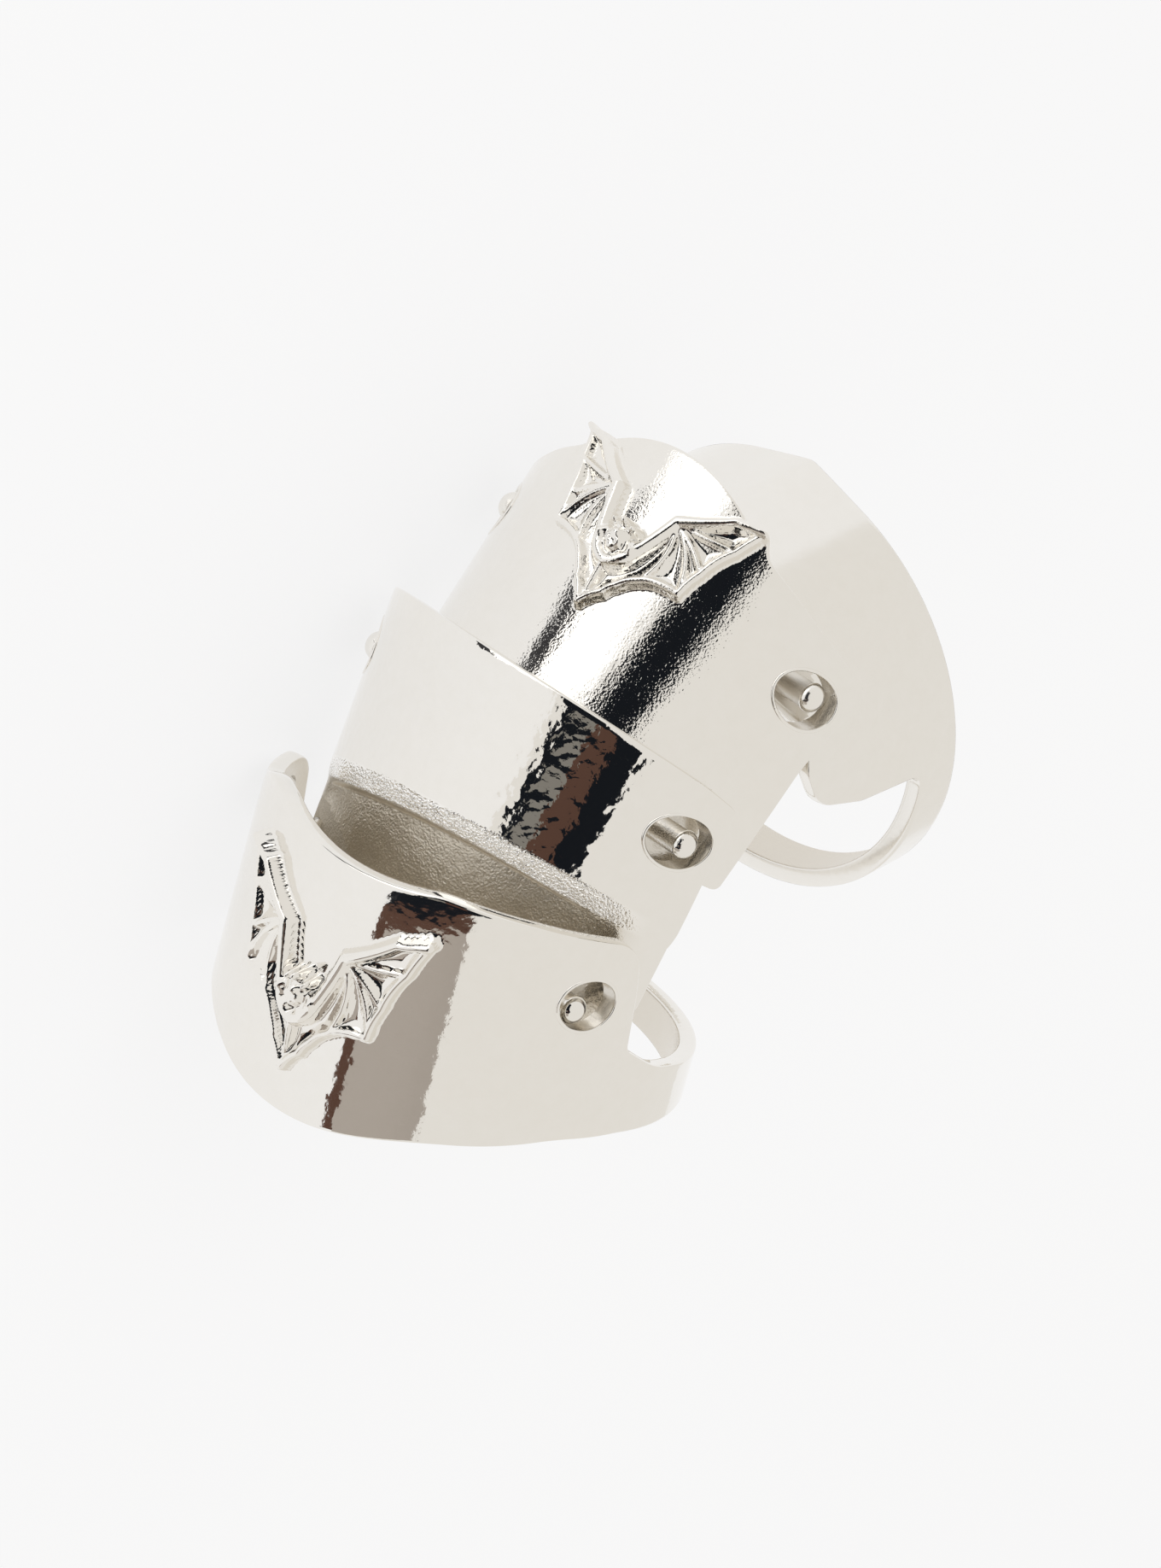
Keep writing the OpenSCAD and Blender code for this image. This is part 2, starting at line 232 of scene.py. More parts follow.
class BatSizes(bpy.types.PropertyGroup):
    """Sizes of the two bats."""

    span: length("Half span", "From the bat's middle to a wing tip", 0.0051)
    knuckle_length: length("Knuckle bat", "Length of the knuckle plate's bat", 0.007)
    tip_length: length("Tip bat", "Length of the tip ring's bat", 0.0085)
    skin: length("Wing skin", "Height of the sunk wing skin", 0.00022)
    bone: length("Bones", "Height of the finger bones and the wing's edge", 0.00058)
    arm: length("Arm", "Height of the arm along the leading edge", 0.00075)
    head: length("Head", "Height of the head lump", 0.00115)


class SilverFinish(bpy.types.PropertyGroup):
    """Finish of the metal."""

    silver: colour("Silver", "Colour of the polished silver", (0.90, 0.885, 0.855))
    shade: colour(
        "Warm silver", "Second tone of the silver, in soft clouds", (0.89, 0.855, 0.80))
    spot: colour("Mottling", "Tone of the fine mottling of the skin", (0.80, 0.77, 0.70))
    mottle: number("Mottling share", "How much of the mottling shows", 0.35)
    # Painted shade: the cast skin's colour darkens the inside and the neck past the shoulder
    cast: colour(
        "Cast skin", "Colour of the metal that no wheel has polished", (0.60, 0.53, 0.42))
    # Painted shade in the holes, on the ground round the pegs and on the pegs' lower part
    dark: colour("Recess", "Colour of the metal in the holes", (0.62, 0.57, 0.49))
    # Painted highlight on the middle plate's rounded shoulder
    bright: colour("Bright edge", "Colour of the grainy shoulder", (0.99, 0.975, 0.95))
    cast_shade_share: number("Cast share", "How much of the cast colour shows", 0.75)
    recess_shade_share: number("Recess share", "How much of the recess colour shows", 0.5)
    gloss: number("Roughness", "Roughness of the polished backs", 0.05)
    satin_gloss: number("Satin roughness", "Roughness of the base band", 0.16)
    grain: length("Grain", "Depth of the casting's waves", 0.000014)
    satin: length("Satin lines", "Depth of the fine lines of the base band", 0.0000025)


class StudioLook(bpy.types.PropertyGroup):
    """Floor, lights and background."""

    floor: colour("Floor", "Colour of the floor", (0.17, 0.17, 0.175))
    glow: number("Glow", "Light that the floor gives off by itself", 0.78)
    air: number("Air", "Strength of the even light", 0.84)
    tint: colour("Tint", "Colour of the even light", (1.0, 0.98, 0.945))
    key: number("Key light", "Power of the large soft light", 0.25)


def mm(value):
    """A length of the add-on in millimetres."""
    return value * MM


def unit(v):
    """Rows of v divided by their own lengths."""
    return v / np.maximum(np.linalg.norm(v, axis=-1, keepdims=True), TINY)


def rounded_outline(rows, inset, steps=10):
    """Points of an outline that lies inset inside the table's one.

    Each corner moves along the sum of its two edges' inward normals, over one plus
    their dot product, times the inset. Then it becomes an arc about a centre on its
    bisector, with the table's radius less the inset, or plus it at a hollow corner, and
    never less than the sharpest one.
    """
    sharpest = 0.06
    rows = np.array(rows, float)
    p, radius = rows[:, :2], rows[:, 2]
    edge = unit(np.roll(p, -1, 0) - p)
    inward = np.stack([-edge[:, 1], edge[:, 0]], 1)
    before, edge_before = np.roll(inward, 1, 0), np.roll(edge, 1, 0)
    p = p + inset * (before + inward) / (1 + (before * inward).sum(1, keepdims=True))
    turn = np.sign(edge_before[:, 0] * edge[:, 1] - edge_before[:, 1] * edge[:, 0])
    radius = np.where(radius > 0, np.maximum(radius - inset * turn, sharpest), 0)
    u, w = unit(np.roll(p, 1, 0) - p), unit(np.roll(p, -1, 0) - p)
    half = np.arccos(np.clip((u * w).sum(1), -1, 1)) / 2
    centre = p + unit(u + w) * (radius / np.sin(half))[:, None]
    a = p + u * (radius / np.tan(half))[:, None] - centre
    b = p + w * (radius / np.tan(half))[:, None] - centre
    start = np.arctan2(a[:, 1], a[:, 0])
    sweep = (np.arctan2(b[:, 1], b[:, 0]) - start + np.pi) % (2 * np.pi) - np.pi
    angle = start[:, None] + sweep[:, None] * np.linspace(0, 1, steps)
    arc = np.stack([np.cos(angle), np.sin(angle)], -1) * radius[:, None, None]
    return (centre[:, None] + arc).reshape(-1, 2)


def rim_chains(rows, inset, steps=10):
    """The outline's hand-side rim and tip-side rim, each from the back to the palm."""
    points = rounded_outline(rows, inset, steps)
    low = int(np.argmax(points[:, 1]))
    right = points[steps:low + 1]
    left = np.vstack([points[low:], points[:1]])[::-1]
    return left, right


def hinge_of(name):
    """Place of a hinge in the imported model."""
    found = [j for j in frame["joints"] if j["name"] == name]
    if not found:
        raise RuntimeError(f"the packed model has no joint named {name}")
    return found[0]["pos_m"]


def pegs_of(node):
    """Middle of a lame's pegs in its own frame, in mm: the way from its hinge to the
    next lame's hinge, turned back by its bend."""
    after = list(LAMES).index(node) + 1
    if after == len(LAMES):
        return None
    (_, own, bend), (_, far, _) = LAMES[node], list(LAMES.values())[after]
    way = (np.array(hinge_of(far)) - hinge_of(own)) * MM
    cos, sin = np.cos(np.radians(bend)), np.sin(np.radians(bend))
    return np.array([cos * way[0] + sin * way[1], cos * way[1] - sin * way[0]])


class Lame:
    """A lame as a shell of revolution: x along its axis, angle from the near flank.

    A point at x and angle f lies at y = axis - r sin f and z = r cos f.
    outer and inner give r as functions of x and f. hole and pegs are the middles of its
    loose hole and of its pegs, or None.
    """

    ROUNDS = 60
    TRIAL_ROWS = 6001

    def __init__(self, node, rows, axis, outer, inner, closed):
        self.node, self.axis, self.closed = node, axis, closed
        self.outer, self.inner = outer, inner
        self.hole, self.pegs = HOLES.get(node), pegs_of(node)
        self.casting = bpy.context.scene.casting_sizes
        self.rim = mm(self.casting.rim)
        self.left, self.right = rim_chains(rows, self.rim)

    def rim_x(self, chain, f):
        """x where the rim crosses angle f: x is read from the rim at y = axis - r sin f,
        with r taken at the last x, until it stands still."""
        x = np.zeros_like(f)
        for _ in range(self.ROUNDS):
            x = np.interp(self.axis - self.outer(x, f) * np.sin(f), chain[:, 1], chain[:, 0])
        return x

    def place(self, x, f, r):
        """Points at x, angle f and radius r."""
        return np.stack([x + 0 * r, self.axis - r * np.sin(f), r * np.cos(f)], -1)

    def angles(self, fine_z, fine, coarse):
        """Angles of the rows, spaced so that neither rim nor the surface between two
        rows is longer than fine within fine_z of the back's middle, or coarse beyond."""
        if self.closed:
            f = np.linspace(-np.pi / 2, 1.5 * np.pi, self.TRIAL_ROWS)
        else:
            # An open lame starts where its lowest corner meets its own radius
            low, first = self.right[-1], 0.0
            for _ in range(self.ROUNDS):
                first = np.arcsin((self.axis - low[1]) / self.outer(low[0], first))
            f = np.linspace(first, np.pi - first, self.TRIAL_ROWS)
        a, b = self.rim_x(self.left, f), self.rim_x(self.right, f)
        r = self.outer((a + b) / 2, f)
        run = np.maximum(
            np.linalg.norm(np.diff(self.place(a, f, r), axis=0), axis=1),
            np.linalg.norm(np.diff(self.place(b, f, r), axis=0), axis=1))
        middle = (f[1:] + f[:-1]) / 2
        back = (np.abs(r[1:] * np.cos(middle)) < fine_z) & (np.sin(middle) > 0)
        run = run / np.where(back, fine, coarse)
        total = np.concatenate([[0], np.cumsum(run)])
        count = int(np.ceil(total[-1]))
        return np.interp(np.linspace(0, total[-1], count + 1), total, f)


def spread(knots, counts):
    """Columns between the knots of each row, evenly spaced within each gap."""
    parts = [
        knots[k][:, None] + (knots[k + 1] - knots[k])[:, None]
        * np.linspace(0, 1, n, endpoint=False)
        for k, n in enumerate(counts)]
    return np.concatenate(parts + [knots[-1][:, None]], 1)


def conormal(side, other, radial, sign, closed):
    """Unit vectors off a rim within the surface: the surface's normal crossed with the
    rim's direction, which is the chord between the points before and after."""
    if closed:
        chord = np.roll(side, -1, 0) - np.roll(side, 1, 0)
    else:
        loop = np.vstack([other[1:2], side, other[-2:-1]])
        chord = loop[2:] - loop[:-2]
    return sign * unit(np.cross(radial, chord))


def rim_strip(a, b, off, bow, steps=7):
    """Points across a rim from its edge a to its edge b: half a superellipse whose
    one half axis is half the wall and whose other is bow, along off."""
    power = 0.7
    t = np.linspace(0, np.pi, steps + 2)[1:-1]
    across = np.sign(np.cos(t)) * np.abs(np.cos(t)) ** power
    out = np.sin(t) ** power
    middle, half = (a + b) / 2, (a - b) / 2
    return (middle[:, None] + half[:, None] * across[:, None]
            + off[:, None] * bow * out[:, None])


def lame_shell(lame, f, knots, counts, inner_count, relief=None, spur=None):
    """Closed shell of a lame on a grid of angles by columns.

    Each row runs over the outside, round the tip-side rim, back over the inside and
    round the hand-side rim. relief(x, z) adds height to the outside, and spur(z, f)
    sends the hand-side rim further back. An open lame's end rows close in one point.
    """
    if lame.closed:
        f = f[:-1]
    a, b = lame.rim_x(lame.left, f), lame.rim_x(lame.right, f)
    if spur is not None:
        a = a - spur(lame.outer(a, f) * np.cos(f), f)
    x = spread([a] + [np.clip(k, a, b) for k in knots] + [b], counts)
    ff = np.broadcast_to(f[:, None], x.shape)
    r = lame.outer(x, ff)
    if relief is not None:
        r = r + relief(x, r * np.cos(ff), np.sin(ff))
    outside = lame.place(x, ff, r)
    xi = spread([a, b], [inner_count])
    fi = np.broadcast_to(f[:, None], xi.shape)
    inside = lame.place(xi, fi, lame.inner(xi, fi))
    radial = np.stack([0 * f, -np.sin(f), np.cos(f)], 1)
    hand, tip = outside[:, 0], outside[:, -1]
    off_tip = conormal(tip, hand, radial, 1, lame.closed)
    off_hand = conormal(hand, tip, radial, -1, lame.closed)
    strip_tip = rim_strip(tip, inside[:, -1], off_tip, lame.rim)
    strip_hand = rim_strip(inside[:, 0], hand, off_hand, lame.rim)
    grid = np.concatenate([outside, strip_tip, inside[:, ::-1], strip_hand], 1)
    if not lame.closed:
        ends = np.broadcast_to(grid[[0, -1]].mean(1, keepdims=True), grid[:2].shape)
        grid = np.concatenate([ends[:1], grid, ends[1:]])
    return grid_part(grid, lame.closed, True)


def grid_part(grid, wrap_rows, wrap_columns):
    """Vertices and quads of a grid of points, joined round its ends where it wraps."""
    rows, columns = grid.shape[:2]
    i = np.arange(rows if wrap_rows else rows - 1)[:, None]
    j = np.arange(columns if wrap_columns else columns - 1)[None, :]
    i2, j2 = (i + 1) % rows, (j + 1) % columns
    quads = np.stack(np.broadcast_arrays(
        i * columns + j, i2 * columns + j, i2 * columns + j2, i * columns + j2), -1)
    return grid.reshape(-1, 3), quads.reshape(-1, 4)


def turned_part(profile, centre, side, count=48):
    """Surface of revolution about a line along z through centre: the profile's rows are
    distance from the line and height, and side +1 or -1 points its heights."""
    profile = np.array(profile, float)
    t = np.linspace(0, 2 * np.pi, count, endpoint=False)[:, None]
    r, z = profile[:, 0][None], profile[:, 1][None]
    grid = np.stack([
        centre[0] + r * np.cos(t), centre[1] + side * r * np.sin(t), side * (z + 0 * t)], -1)
    return grid_part(grid, True, False)


def flank(radius, depth):
    """Height of a lame's flank at a depth from its axis: the root of the radius squared
    less the depth squared."""
    return np.sqrt(radius ** 2 - depth ** 2)


def peg_part(lame, side, root, top):
    """A cast peg from root to top: a small fillet, a straight shaft and a head that is
    half an ellipsoid, a little wider than the shaft."""
    fillet, sunk, collar = 0.3, 0.2, 0.12
    r, peak = mm(lame.casting.peg) / 2, top + mm(lame.casting.dome)
    head = 1.12 * r
    rise = 0.9 * head
    t = np.linspace(0, np.pi / 2, 7)
    foot = np.stack([r + fillet * (1 - np.sin(t)), root + fillet * (2 - np.cos(t))], 1)
    t = np.linspace(0, np.pi / 2, 14)
    cap = np.stack([head * np.cos(t), peak - rise * (1 - np.sin(t))], 1)
    shaft = [(0, root - sunk), (r + fillet, root - sunk)]
    profile = np.vstack([shaft, foot, [(r, peak - rise - collar)], cap])
    return turned_part(profile, lame.pegs, side)


def lip_part(lame, side, count=96, around=10):
    """Rolled lip of a hole: a thin tube along the hole's edge on the flank, of which a
    share lies below the plate and a share is set back from the hole."""
    below, aside, flank_angle = 0.45, 0.25, 0.6
    ring, thick = mm(lame.casting.hole) / 2, mm(lame.casting.lip)
    t = np.linspace(0, 2 * np.pi, count, endpoint=False)[:, None]
    u = np.linspace(0, 2 * np.pi, around, endpoint=False)[None, :]
    x, y = lame.hole[0] + ring * np.cos(t), lame.hole[1] + ring * np.sin(t)
    r = lame.outer(x, np.full_like(x, flank_angle))
    z = flank(r, lame.axis - y) - thick * below
    out = thick * np.cos(u) + thick * aside
    grid = np.stack([
        x + out * np.cos(t), y + out * np.sin(t), side * (z + thick * np.sin(u))], -1)
    return grid_part(grid if side > 0 else grid[::-1], True, True)


def put_mesh(name, parts):
    """One mesh from parts of vertices and faces, whose corners are given face by face."""
    mesh = bpy.data.meshes.new(name)
    points = np.concatenate([p for p, _ in parts]).astype(np.float32)
    shift = np.cumsum([0] + [len(p) for p, _ in parts[:-1]])
    quads = np.concatenate([q + s for (_, q), s in zip(parts, shift)])
    mesh.vertices.add(len(points))
    mesh.vertices.foreach_set("co", points.ravel())
    mesh.loops.add(quads.size)
    mesh.loops.foreach_set("vertex_index", quads.ravel().astype(np.int32))
    mesh.polygons.add(len(quads))
    mesh.polygons.foreach_set("loop_start", np.arange(0, quads.size, 4, dtype=np.int32))
    mesh.update(calc_edges=True)
    return mesh


def weld(mesh, distance=0.0005):
    """Joins points closer than the distance, which closes the poles and the seams."""
    b = bmesh.new()
    b.from_mesh(mesh)
    bmesh.ops.remove_doubles(b, verts=b.verts, dist=distance)
    bmesh.ops.dissolve_degenerate(b, edges=b.edges, dist=distance / 5)
    b.to_mesh(mesh)
    b.free()


def drilled(mesh, at, radius):
    """The mesh with a straight hole along z through both flanks, and the hole's edges
    marked sharp: those whose two ends lie on the circle and part across it."""
    long, near, fewest = 30, 0.01, 1000
    shell = bpy.data.objects.new("shell", mesh)
    rod_mesh = put_mesh("rod", [turned_part(
        [(0, -long), (radius, -long), (radius, long), (0, long)], at, 1, count=96)])
    weld(rod_mesh)
    rod = bpy.data.objects.new("rod", rod_mesh)
    for o in (shell, rod):
        bpy.context.scene.collection.objects.link(o)
    cut = shell.modifiers.new("hole", "BOOLEAN")
    cut.operation, cut.solver, cut.object = "DIFFERENCE", "EXACT", rod
    ready = shell.evaluated_get(bpy.context.evaluated_depsgraph_get())
    out = bpy.data.meshes.new_from_object(ready)
    for o in (shell, rod):
        bpy.data.objects.remove(o)
    co = np.zeros(len(out.vertices) * 3, np.float32)
    out.vertices.foreach_get("co", co)
    co = co.reshape(-1, 3)
    ends = np.zeros(len(out.edges) * 2, np.int32)
    out.edges.foreach_get("vertices", ends)
    p, q = co[ends[::2]], co[ends[1::2]]
    on = [np.abs(np.hypot(*(v[:, :2] - at).T) - radius) < near for v in (p, q)]
    run, flat = np.linalg.norm(p - q, axis=1), np.hypot(*(p - q)[:, :2].T)
    sharp = on[0] & on[1] & (flat > 0.5 * run)
    mark = out.attributes.get("sharp_edge")
    mark = mark or out.attributes.new("sharp_edge", "BOOLEAN", "EDGE")
    mark.data.foreach_set("value", sharp)
    if len(out.vertices) < fewest or not sharp.any():
        raise RuntimeError("the hole wasn't cut")
    return out


def bowed_lines(segments, points, steps=6):
    """Short straight runs along bowed segments: a point at share t of the run stands
    4 t (1 - t) times the bow times the run's length to its left."""
    seg = np.array(segments, float)
    a, b = points[seg[:, 0].astype(int)], points[seg[:, 1].astype(int)]
    left = np.stack([-(b - a)[:, 1], (b - a)[:, 0]], 1)
    t = np.linspace(0, 1, steps + 1)[None, :, None]
    bow = left[:, None] * (4 * t * (1 - t)) * seg[:, 2, None, None]
    line = a[:, None] + (b - a)[:, None] * t + bow
    return line[:, :-1].reshape(-1, 2), line[:, 1:].reshape(-1, 2)


def distance(p, a, b):
    """Least distance of each point of p from the straight runs a to b."""
    best = np.full(len(p), np.inf)
    for start, end in zip(a, b):
        run = end - start
        t = np.clip(((p - start) @ run) / max(run @ run, TINY), 0, 1)
        best = np.minimum(best, np.linalg.norm(p - start - t[:, None] * run, axis=1))
    return best


def inside_of(p, a, b):
    """Whether each point lies inside the closed line of runs a to b: a ray along x from
    it crosses the line an odd number of times."""
    odd = np.zeros(len(p), bool)
    for start, end in zip(a, b):
        crosses = (start[1] > p[:, 1]) != (end[1] > p[:, 1])
        rise = end[1] - start[1]
        rise = rise if abs(rise) > TINY else TINY
        at = start[0] + (p[:, 1] - start[1]) / rise * (end[0] - start[0])
        odd ^= crosses & (p[:, 0] < at)
    return odd


def bead(d, half_width):
    """Cross-section of a rounded bead: 1 on its line, 0 from half_width on."""
    s = np.clip(1 - (d / half_width) ** 2, 0, 1)
    return np.sqrt(s) * (1 - 0.25 * np.clip(d / half_width, 0, 1) ** 4)


def smooth_step(low, high, v):
    """0 before low, 1 past high, and a cubic between. With low the larger of the two,
    it falls from 1 to 0."""
    t = np.clip((v - low) / (high - low), 0, 1)
    return t * t * (3 - 2 * t)


def bat_relief(first, length, bat):
    """Height of a bat over its plate as a function of x and z.

    Its wing skin is a low plate inside the wing's outline, sunk between the bones.
    Edge, bones and arm are beads along bowed lines. The arm is the highest at the
    shoulder and at the wing tip. The head is half an ellipsoid with two pointed ears
    between two lumps of fur, and the body is a ridge that thins towards the tail.
    """
    table = np.array(WING)
    span, tall = mm(bat.span), mm(bat.head)
    skull, body_from = 0.54 * length, 0.66
    points = table[:, :2] * [length, span]
    edge = bowed_lines([(i, i + 1, -bow) for i, bow in enumerate(table[:-1, 2])], points)
    bones, arm = bowed_lines(BONES, points), bowed_lines(ARM, points)
    closed = [np.vstack([ends, last]) for ends, last in zip(edge, (points[-1:], points[:1]))]

    def lump(p, u, v, long, wide):
        # Half an ellipsoid: the root of one less the squared shares of the way along
        # its two half axes
        away = ((p[:, 0] - u) / long) ** 2 + ((p[:, 1] - v) / wide) ** 2
        return np.sqrt(np.clip(1 - away, 0, 1))

    def height(x, z, back):
        out = np.zeros(x.size)
        u, v = (x - first).ravel(), np.abs(z).ravel()
        near = (u > -MARGIN) & (u < length + MARGIN) & (v < span + MARGIN) & (back.ravel() > 0)
        p = np.stack([u[near], v[near]], 1)
        if not len(p):
            return out.reshape(x.shape)
        to_edge, to_bone, to_arm = (distance(p, *line) for line in (edge, bones, arm))
        within = np.where(inside_of(p, *closed), to_edge, -to_edge)
        skin = mm(bat.skin) * smooth_step(-0.08, 0.12, within)
        to_either = np.minimum(to_edge, to_bone)
        sunk = SKIN_SINK * smooth_step(0.15, 0.55, to_either) * (within > 0)
        wing = np.maximum(skin - sunk, mm(bat.bone) * bead(to_edge, EDGE_BEAD))
        wing = np.maximum(wing, mm(bat.bone) * 0.85 * bead(to_bone, BONE_BEAD))
        # The arm is higher and thicker at the shoulder, and higher at the wing tip
        out_share = p[:, 1] / span
        rise = (1 + 0.2 * smooth_step(0.35, 0.1, out_share)
                + 0.15 * smooth_step(0.6, 1.0, out_share))
        thick = 0.30 + 0.12 * smooth_step(0.8, 0.2, out_share)
        wing = np.maximum(wing, mm(bat.arm) * rise * bead(to_arm, thick))
        # The body's ridge gets lower and narrower from the head to the tail
        share = p[:, 0] / length
        thin = np.clip((share - body_from) / (1 - body_from), 0, 1)
        spine = (0.85 - 0.55 * thin) * bead(p[:, 1], 0.3 - 0.12 * thin)
        wing = np.maximum(wing, spine * (share > body_from) * (share < 1))
        # Two cones for the ears, the lumps, and fine waves of hair over all of them
        ear_away = np.hypot((p[:, 0] - skull + 0.6) / 0.42, (p[:, 1] - 0.5) / 0.3)
        head = tall * 1.15 * np.clip(1 - ear_away, 0, 1) ** 0.7
        for high, past, aside, long, wide in LUMPS:
            one = lump(p, skull + past * length, aside, long, wide)
            head = np.maximum(head, tall * high * one)
        hair = 1 + 0.10 * np.sin(9 * p[:, 0]) * np.sin(11 * p[:, 1] + 1)
        out[near] = np.maximum(wing, head * hair)
        return out.reshape(x.shape)

    return height


def lame_matrix(node):
    """From a lame's own frame in mm to the row frame in metres."""
    _, hinge, bend = LAMES[node]
    place = Matrix.Translation(Vector(hinge_of(hinge)))
    scale = Matrix.Diagonal((1 / MM, 1 / MM, 1 / MM, 1))
    return place @ Matrix.Rotation(np.radians(bend), 4, "Z") @ scale


def shoulder_lean(z):
    """How far the middle plate's shoulder lies towards the fingertip at z: a straight
    lean, plus a bow with the square of z's share of the half width."""
    lean, bow, half_width = -0.09, 0.6, 9.2
    return lean * z + bow * (z / half_width) ** 2


def marks(mesh, shell_faces, lame, top, rough_from):
    """Three masks on the faces of a joined lame, in its own frame.

    recess: where painted shade goes, the wall of the loose hole, the ground round the pegs
    and the lower part of the pegs, which tell by their distance from the hole's and the
    pegs' axes.
    rough: the rough cast skin, whose darker colour is painted shade: the inside, where a
    face looks at the lame's axis, and the back's outside from the given start on towards
    the fingertip.
    edge: the rounded shoulder before that start, which gets a painted highlight.
    """
    count = len(mesh.polygons)
    centre, normal = np.zeros(count * 3, np.float32), np.zeros(count * 3, np.float32)
    mesh.polygons.foreach_get("center", centre)
    mesh.polygons.foreach_get("normal", normal)
    centre, normal = centre.reshape(-1, 3), normal.reshape(-1, 3)
    shell = np.arange(count) < shell_faces

    def away(at):
        return np.hypot(centre[:, 0] - at[0], centre[:, 1] - at[1])

    slack = 0.002
    # Painted shade in the hole, on the ground round the pegs and on the pegs' lower part
    recess = np.zeros(count, bool)
    if lame.hole is not None:
        recess |= shell & (away(lame.hole) < mm(lame.casting.hole) / 2 + slack)
    if lame.pegs is not None:
        outward = normal[:, 2] * np.sign(centre[:, 2])
        recess |= shell & (away(lame.pegs) < GROUND) & (outward > 0.3)
        low = np.abs(centre[:, 2]) < top - PEG_HEAD
        recess |= ~shell & (away(lame.pegs) < SHAFT) & low
    radial = centre * [0, 1, 1] - [0, lame.axis, 0]
    away_from_axis = np.maximum(np.linalg.norm(radial, axis=1), TINY)
    facing = (normal * radial).sum(1) / away_from_axis
    back = smooth_step(0.45, 0.7, -radial[:, 1] / away_from_axis) * (facing > 0.2)
    past = centre[:, 0] - shoulder_lean(centre[:, 2]) - rough_from
    # The cast skin, whose colour is painted shade, on the inside and on the neck
    rough = np.maximum(INSIDE * (facing < -0.5), smooth_step(0.4, 0.65, past) * back)
    # The rounded shoulder, which gets a painted highlight
    edge = smooth_step(-0.5, -0.2, past) * smooth_step(0.6, 0.45, past) * back
    for name, values in (("recess", recess), ("rough", rough * shell), ("edge", edge * shell)):
        layer = mesh.attributes.new(name, "FLOAT", "FACE")
        layer.data.foreach_set("value", np.asarray(values, np.float32))


def lame_mesh(lame, rows, **columns):
    """Welded shell of a lame, with its hole if it has one."""
    shell = put_mesh("shell", [lame_shell(lame, rows, **columns)])
    weld(shell)
    if lame.hole is None:
        return shell
    return drilled(shell, lame.hole, mm(lame.casting.hole) / 2)


def flank_parts(lame, radius=0.0, top=0.0):
    """A lame's pegs and its holes' lips on both flanks. The pegs are rooted below the
    given radius, and their heads end at the top."""
    sides, parts = (1, -1), []
    if lame.pegs is not None:
        root = flank(radius, lame.axis - lame.pegs[1]) - PEG_ROOT
        parts += [peg_part(lame, side, root, top) for side in sides]
    if lame.hole is not None:
        parts += [lip_part(lame, side) for side in sides]
    return parts


def finish_lame(lame, shell, extras, material, top=0.0, rough_from=99.0):
    """Joins the shell and its extras, puts them in the row frame and rides them."""
    node, name = lame.node, lame.node + "_silver"
    more = put_mesh(name + "_extras", extras)
    weld(more)
    b = bmesh.new()
    b.from_mesh(shell)
    shell_faces = len(b.faces)
    b.from_mesh(more)
    mesh = bpy.data.meshes.new(name)
    b.to_mesh(mesh)
    b.free()
    marks(mesh, shell_faces, lame, top, rough_from)
    mesh.transform(lame_matrix(node))
    mesh.polygons.foreach_set("use_smooth", np.ones(len(mesh.polygons), bool))
    mesh.update()
    piece = bpy.data.objects.new(name, mesh)
    bpy.context.scene.collection.objects.link(piece)
    mesh.materials.append(material)
    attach(piece, LAMES[node][0])
    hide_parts(node)


def group_tree(name, inputs, outputs):
    """An empty shader node group with named sockets: (name, kind, default)."""
    tree = bpy.data.node_groups.new(name, "ShaderNodeTree")
    for label, kind, value in inputs:
        socket = tree.interface.new_socket(label, in_out="INPUT", socket_type=kind)
        if value is not None:
            socket.default_value = value
    for label, kind in outputs:
        tree.interface.new_socket(label, in_out="OUTPUT", socket_type=kind)
    return tree, tree.nodes.new("NodeGroupInput"), tree.nodes.new("NodeGroupOutput")


def feed(tree, socket, value):
    """Links a socket to another one, or sets it to a value."""
    if isinstance(value, bpy.types.NodeSocket):
        tree.links.new(value, socket)
    else:
        socket.default_value = value


def maths(tree, operation, *values):
    """A Math node with sockets or numbers for its inputs."""
    node = tree.nodes.new("ShaderNodeMath")
    node.operation = operation
    for socket, value in zip(node.inputs, values):
        feed(tree, socket, value)
    return node.outputs[0]


def noise(tree, place, scale, detail=2.0, rough=0.5):
    """Fractal noise at a place, as a factor from 0 to 1."""
    node = tree.nodes.new("ShaderNodeTexNoise")
    for label, value in (
            ("Vector", place), ("Scale", scale), ("Detail", detail), ("Roughness", rough)):
        feed(tree, node.inputs[label], value)
    return node.outputs["Fac"]


def stretched(tree, given, scale):
    """A group's Place, turned by its Turn and scaled by its input of the given name."""
    way = tree.nodes.new("ShaderNodeMapping")
    for label, socket in (("Place", "Vector"), ("Turn", "Rotation"), (scale, "Scale")):
        tree.links.new(given.outputs[label], way.inputs[socket])
    return way.outputs["Vector"]


def cast_grain():
    """Group: the orange peel of a cast and lightly polished skin, as a height: long
    waves, plus a share of fine grain that comes and goes in patches."""
    if "cast grain" in bpy.data.node_groups:
        return bpy.data.node_groups["cast grain"]
    tree, given, made = group_tree(
        "cast grain",
        [("Place", "NodeSocketVector", None), ("Turn", "NodeSocketVector", (0.0, 0.0, 0.0)),
         ("Waves", "NodeSocketVector", (900.0, 2200.0, 2200.0)),
         ("Grain", "NodeSocketFloat", 9000.0), ("Share", "NodeSocketFloat", 0.3)],
        [("Height", "NodeSocketFloat")])
    place = given.outputs["Place"]
    waves = noise(tree, stretched(tree, given, "Waves"), 1.0, detail=1.5, rough=0.4)
    fine = noise(tree, place, given.outputs["Grain"], detail=1.0)
    patch = noise(tree, place, 420.0, detail=1.0)
    uneven = maths(tree, "MULTIPLY", fine, patch)
    height = maths(tree, "MULTIPLY_ADD", uneven, given.outputs["Share"], waves)
    tree.links.new(height, made.inputs["Height"])
    return tree


